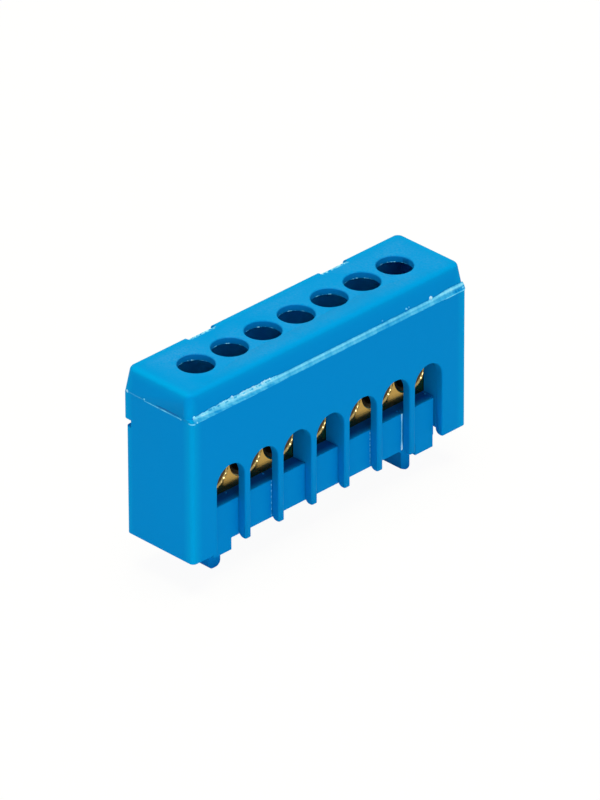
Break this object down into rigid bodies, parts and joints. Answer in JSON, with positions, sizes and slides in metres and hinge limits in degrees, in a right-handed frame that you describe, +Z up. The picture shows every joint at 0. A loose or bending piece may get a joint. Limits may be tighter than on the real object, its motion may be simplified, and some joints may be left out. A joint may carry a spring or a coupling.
{
  "type": "neutral terminal block",
  "caption": "Insulated busbar terminal block: a brass bar with clamping screws in a moulded casing with arched wire slots, under a lid with screwdriver holes, on a rail-clip base.",
  "frame": {"origin": "centre of the rail seat, on the base's lower ribs", "axes": "+X along the busbar, with the claw at -X and the latch at +X; the wires enter from -Y; +Z up, towards the screwdriver"},
  "size_m": [0.054, 0.0136, 0.0318],
  "materials": {
    "blue_plastic": "satin moulded",
    "brass": "extruded and drilled",
    "zinc_steel": "zinc plated"
  },
  "bodies": {
    "block": {"casing": "blue_plastic", "lid": "blue_plastic", "base": "blue_plastic", "brass_bar": "brass"},
    "screw_1": {"clamp_screw_1": "zinc_steel"},
    "screw_2": {"clamp_screw_2": "zinc_steel"},
    "screw_3": {"clamp_screw_3": "zinc_steel"},
    "screw_4": {"clamp_screw_4": "zinc_steel"},
    "screw_5": {"clamp_screw_5": "zinc_steel"},
    "screw_6": {"clamp_screw_6": "zinc_steel"},
    "screw_7": {"clamp_screw_7": "zinc_steel"}
  },
  "joints": [
    {"name": "screw_1_travel", "type": "slide", "parent": "block", "child": "screw_1", "axis": [0, 0, -1], "range_m": [0, 0.0044]},
    {"name": "screw_2_travel", "type": "slide", "parent": "block", "child": "screw_2", "axis": [0, 0, -1], "range_m": [0, 0.0044]},
    {"name": "screw_3_travel", "type": "slide", "parent": "block", "child": "screw_3", "axis": [0, 0, -1], "range_m": [0, 0.0044]},
    {"name": "screw_4_travel", "type": "slide", "parent": "block", "child": "screw_4", "axis": [0, 0, -1], "range_m": [0, 0.0044]},
    {"name": "screw_5_travel", "type": "slide", "parent": "block", "child": "screw_5", "axis": [0, 0, -1], "range_m": [0, 0.0044]},
    {"name": "screw_6_travel", "type": "slide", "parent": "block", "child": "screw_6", "axis": [0, 0, -1], "range_m": [0, 0.0044]},
    {"name": "screw_7_travel", "type": "slide", "parent": "block", "child": "screw_7", "axis": [0, 0, -1], "range_m": [0, 0.0044]}
  ]
}
